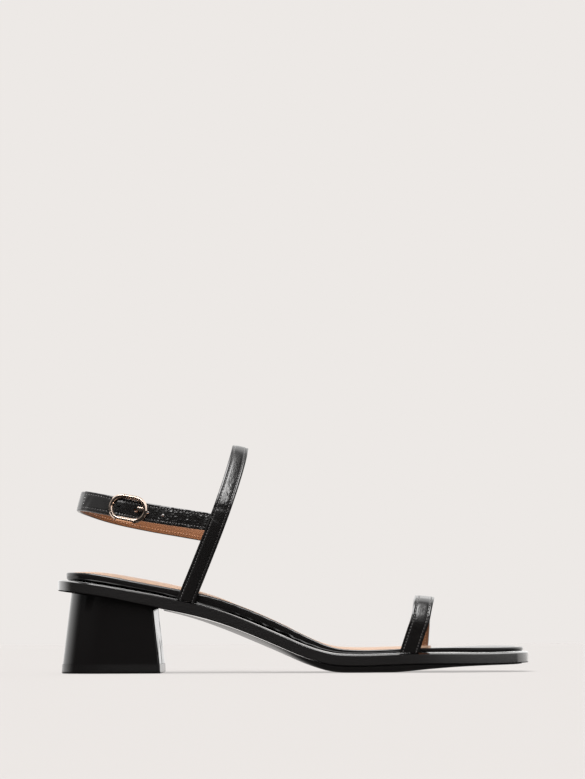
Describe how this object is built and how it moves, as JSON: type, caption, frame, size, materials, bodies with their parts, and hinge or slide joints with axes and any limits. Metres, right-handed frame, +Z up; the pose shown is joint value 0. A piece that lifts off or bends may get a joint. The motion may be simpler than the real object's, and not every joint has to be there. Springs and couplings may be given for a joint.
{
  "type": "heeled sandal",
  "caption": "Right-foot open sandal on a flared block heel, with a narrow toe strap, an instep strap and a buckled heel sling over a padded footbed.",
  "frame": {"origin": "on the floor, under the middle of the part's box", "axes": "+X from heel to toe, +Y to the medial side (the wearer's left), +Z up"},
  "size_m": [0.2447, 0.0844, 0.118],
  "materials": {
    "upper": "black grained leather, semi-gloss",
    "lining": "tan leather, smooth matt",
    "edge": "black leather-covered band, satin",
    "heel": "black polished cover over a moulded block",
    "lift": "black hard rubber, matt",
    "sole": "black moulded sole, glossy",
    "buckle": "pale rose gold plating, polished"
  },
  "bodies": {
    "root": {"outsole": "sole", "platform": "edge", "heel_block": "heel", "heel_top_lift": "lift", "footbed": "upper", "sock_lining": "lining", "toe_strap": "upper", "straps": "upper", "buckle_frame": "buckle", "buckle_prong": "buckle"}
  },
  "joints": []
}
